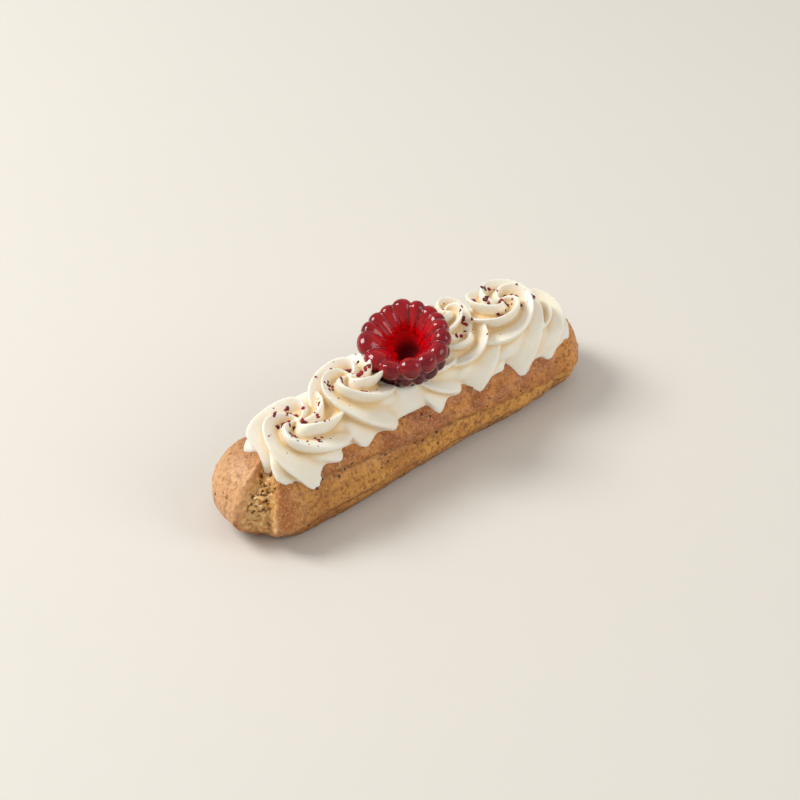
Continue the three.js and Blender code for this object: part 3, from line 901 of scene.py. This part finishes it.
def crust_pores(tree, spot, specks):
    """Near 1 in a pore: one to a cell, of many sizes, with edges made ragged by the specks."""
    cells = place(tree, "ShaderNodeTexVoronoi", {"Vector": spot, "Scale": 380})
    number = place(tree, "ShaderNodeSeparateColor", {"Color": cells.outputs["Color"]}).outputs[0]
    pore_size = stepped(tree, number, 0.2, 1.0, 0.0, 0.19)
    away = calculated(tree, "ADD", cells.outputs["Distance"], weighted(tree, specks, 0.14))
    return stepped(tree, calculated(tree, "SUBTRACT", away, pore_size), 0.03, 0.09, 0.9, 0.0)


# %% Finish of the crust
def crust_finish():
    material, tree, shader, patches, grain = new_finish("baked_choux", 0.009, 0.0014)
    spot = place(tree, "ShaderNodeTexCoord").outputs["Object"]
    along = place(tree, "ShaderNodeSeparateXYZ", {"Vector": spot}).outputs
    upright = place(tree, "ShaderNodeVectorMath", {0: spot, 1: (1.0, 1.0, STREAK_STRETCH)},
                    operation="MULTIPLY").outputs[0]
    streaks, specks = speckled(tree, upright, 900, 4), speckled(tree, spot, 1800, 2)
    pores = crust_pores(tree, spot, specks)
    skin = baked_tones_and_painted_light(tree, along, patches, grain)
    skin = mixed(tree, stepped(tree, streaks, 0.5, 0.68, 0.0, 0.5), skin, colour("865020"))
    # pale specks: painted highlights on tiny blisters
    skin = mixed(tree, stepped(tree, specks, 0.52, 0.7, 0.0, 0.4), skin, colour("f0c480"))
    # painted shade in the creases and under the ledge
    skin = mixed(tree, weighted(tree, attribute(tree, "crease_shade"), 0.8), skin, colour("6a3a14"))
    skin = mixed(tree, pores, skin, colour("43240a"))
    torn, pit_shade = attribute(tree, "torn"), attribute(tree, "pit_shade")
    crumb_tone = mixed(tree, stepped(tree, grain, 0.4, 0.6), colour("ecc283"), colour("cf9650"))
    # painted shade in the crumb's pits and crack
    crumb_tone = mixed(tree, stepped(tree, pit_shade, 0.2, 1.0), crumb_tone, colour("6e4a1f"))
    dull = stepped(tree, grain, 0.35, 0.65, 0.36, 0.52)
    moist = stepped(tree, specks, 0.4, 0.6, 0.12, 0.4)
    height = calculated(tree, "ADD", grain, weighted(tree, streaks, 0.6))
    height = calculated(tree, "SUBTRACT", height, weighted(tree, pores, 0.5))
    feed(tree, shader, {
        "Base Color": mixed(tree, torn, skin, crumb_tone),
        "Roughness": blended(tree, torn, dull, moist),
        "Normal": bumped(tree, height, 0.0007, 0.65),
        "Specular IOR Level": 0.4, "Coat Weight": 0.1, "Coat Roughness": 0.3,
    })
    return material


choux.data.materials.append(crust_finish())
print("crust finish:", len(choux.active_material.node_tree.nodes), "nodes")

# %% [markdown]
# The cream is ivory, with a satin skin. Light goes about a millimetre into it, which subsurface
# scattering gives. Its hollows get a painted warm yellow shade and its crests a painted near-white
# highlight, both read from the attribute made above.

# %% Finish of the cream
def cream_finish():
    material, tree, shader, patches, grain = new_finish("whipped_ivory", 0.006, 0.0007)
    hollow = attribute(tree, "hollow")
    tone = mixed(tree, stepped(tree, patches, 0.35, 0.65), colour("faf3e5"), colour("f8efdb"))
    # painted shade: warm yellow in the hollows
    tone = mixed(tree, stepped(tree, hollow, 0.42, 0.85, 0.0, 0.82), tone, colour("eac684"))
    # painted highlight: near white on the crests
    tone = mixed(tree, stepped(tree, hollow, 0.15, 0.4, 0.6, 0.0), tone, colour("fff9ec"))
    feed(tree, shader, {
        "Base Color": tone,
        "Roughness": stepped(tree, grain, 0.3, 0.7, 0.34, 0.46),
        "Normal": bumped(tree, grain, 0.00008, 0.5),
        "Subsurface Weight": 0.4, "Subsurface Radius": (1.0, 0.75, 0.45),
        "Subsurface Scale": 0.0009,
    })
    return material


cream.data.materials.append(cream_finish())
print("cream finish:", len(cream.active_material.node_tree.nodes), "nodes")

# %% [markdown]
# Dried berry is dark red to nearly black, with pinkish patches. Each crumb keeps one random number
# in its tint attribute, and that picks its colour.

# %% Finish of the flakes
def flake_finish():
    material, tree, shader, patches, grain = new_finish("dried_berry", 0.0012, 0.0003)
    tone = mixed(tree, attribute(tree, "tint"), colour("4e0a10"), colour("a41c2a"))
    tone = mixed(tree, stepped(tree, patches, 0.5, 0.75, 0.0, 0.5), tone, colour("c4606c"))
    feed(tree, shader, {
        "Base Color": tone,
        "Roughness": stepped(tree, grain, 0.3, 0.7, 0.45, 0.8),
        "Normal": bumped(tree, grain, 0.0001, 0.6),
    })
    return material


flakes.data.materials.append(flake_finish())
print("flake finish:", len(flakes.active_material.node_tree.nodes), "nodes")

# %% [markdown]
# The fresh berry is deep red, wet and full of juice: light enters each drupelet and comes out
# redder, and a clear wet coat gives small sharp glints. Painted light brightens the crests and the
# rim, and painted shade darkens the flank below and the grooves between drupelets, nearly black,
# with painted pink reflections along their edges. The hollow has painted light at its mouth and
# painted shade at its floor, and is not wet.

# %% Finish of the berry
def berry_finish():
    material, tree, shader, patches, grain = new_finish("wet_berry", 0.004, 0.0006)
    hollow, inside, under, lit = (attribute(tree, name)
                                  for name in ("hollow", "inside", "under", "lit"))
    tone = mixed(tree, stepped(tree, patches, 0.35, 0.65), colour("5c000c"), colour("8c0614"))
    # painted light: the crests of the drupelets glow a brighter red
    tone = mixed(tree, stepped(tree, hollow, 0.1, 0.5, 0.55, 0.0), tone, colour("cc1422"))
    tone = mixed(tree, weighted(tree, lit, 0.8), tone, colour("cc0812"))
    # painted shade low on the flank of the berry
    tone = mixed(tree, stepped(tree, under, 0.0, 0.9, 0.0, 0.85), tone, colour("420410"))
    # painted pink reflections along the edges of the grooves
    tone = mixed(tree, stepped(tree, hollow, 0.56, 0.66, 0.0, 0.5), tone, colour("b04050"))
    # painted shade, nearly black, in the grooves between drupelets
    tone = mixed(tree, stepped(tree, hollow, 0.66, 0.9), tone, colour("280106"))
    # painted light on the hollow's wall just inside its mouth
    tone = mixed(tree, stepped(tree, inside, 0.12, 0.3, 0.0, 0.9), tone, colour("dc000c"))
    # painted shade on the hollow's floor
    tone = mixed(tree, stepped(tree, inside, 0.5, 0.9), tone, colour("640008"))
    wet = stepped(tree, grain, 0.35, 0.65, 0.07, 0.14)
    feed(tree, shader, {
        "Base Color": tone,
        "Roughness": blended(tree, stepped(tree, inside, 0.2, 0.6), wet, 0.7),
        "Normal": bumped(tree, patches, 0.0008, 0.3),
        "Subsurface Weight": 0.3, "Subsurface Radius": (1.0, 0.1, 0.08),
        "Subsurface Scale": 0.0015, "Specular IOR Level": 0.12,
        "Coat Weight": stepped(tree, inside, 0.2, 0.5, 0.7, 0.0), "Coat Roughness": 0.03,
    })
    return material


berry.data.materials.append(berry_finish())
print("berry finish:", len(berry.active_material.node_tree.nodes), "nodes")

# %% [markdown]
# Each piece now hides the solid it stands for and is parented to the body it moves with.
# Nothing on an eclair moves, so all of them ride on the one body, and the flakes share the cream's
# solid, to which they are joined in the solids.

# %% Tie the pieces to the frame
for piece, node, finish in ((choux, "choux_finger", "crust"), (cream, "piped_cream", "cream"),
                            (flakes, "piped_cream", "cream"), (berry, "red_berry", "berry")):
    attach(piece, "root")
    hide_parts(node)
    print(piece.name, "stands for", node)

# %% [markdown]
# The studio is a pale floor, a large soft lamp above and behind to the left, a weaker one in front
# to the right, and a white world that fills the shadows. The camera looks down at 40 degrees from
# the front left, with a long lens.

# %% Floor
FLOOR_HALF = 2500


def floor_finish():
    material, tree, shader, patches, grain = new_finish("pale_floor", 0.2, 0.01)
    tone = mixed(tree, patches, colour("e5e0d7"), colour("e2ddd4"))
    roughness = stepped(tree, grain, 0.3, 0.7, 0.5, 0.56)
    feed(tree, shader, {"Base Color": tone, "Roughness": roughness})
    return material


floor_bm = bmesh.new()
bmesh.ops.create_grid(floor_bm, x_segments=2, y_segments=2, size=FLOOR_HALF)
floor = as_object("floor", floor_bm)
floor.data.materials.append(floor_finish())
print("floor:", 2 * FLOOR_HALF * MM, "m wide")

# %% Lamps and world
def soft_lamp(name, place_at, size, watts):
    lamp = bpy.data.lights.new(name, "AREA")
    lamp.size, lamp.energy = size, watts
    made = bpy.data.objects.new(name, lamp)
    made.location = place_at
    made.rotation_euler = (-Vector(place_at)).to_track_quat("-Z", "Y").to_euler()
    bpy.context.scene.collection.objects.link(made)


soft_lamp("key_lamp", (-0.45, 0.6, 0.8), size=0.45, watts=8.6)
soft_lamp("front_lamp", (0.5, -0.85, 0.65), size=0.6, watts=3.2)
world = bpy.data.worlds.new("white_studio")
world.use_nodes = True
sky = world.node_tree.nodes["Background"]
feed(world.node_tree, sky, {"Color": (1.0, 0.98, 0.95, 1.0), "Strength": 0.48})
bpy.context.scene.world = world
bpy.context.scene.view_settings.view_transform = "Standard"
print("lamps:", sorted(lamp.name for lamp in bpy.data.lights))

# %% Camera
AZIMUTH = math.radians(-41.4)
ELEVATION = math.radians(40)
DISTANCE = 0.5682
FOCAL_LENGTH = 90
SENSOR_WIDTH = 36
AIM_UP = 0.01136
AIM_LEFT = 0.00047
lens = bpy.data.cameras.new("camera")
lens.lens, lens.sensor_width = FOCAL_LENGTH, SENSOR_WIDTH
lens.clip_start = 0.01
camera = bpy.data.objects.new("camera", lens)
back = Vector((math.sin(AZIMUTH) * math.cos(ELEVATION),
               -math.cos(AZIMUTH) * math.cos(ELEVATION), math.sin(ELEVATION)))
to_right = Vector((math.cos(AZIMUTH), math.sin(AZIMUTH), 0))
aim = back.cross(to_right) * AIM_UP - to_right * AIM_LEFT
camera.location = back * DISTANCE
camera.rotation_euler = (aim - camera.location).to_track_quat("-Z", "Y").to_euler()
bpy.context.scene.collection.objects.link(camera)
bpy.context.scene.camera = camera
print("camera:", DISTANCE, "m away")
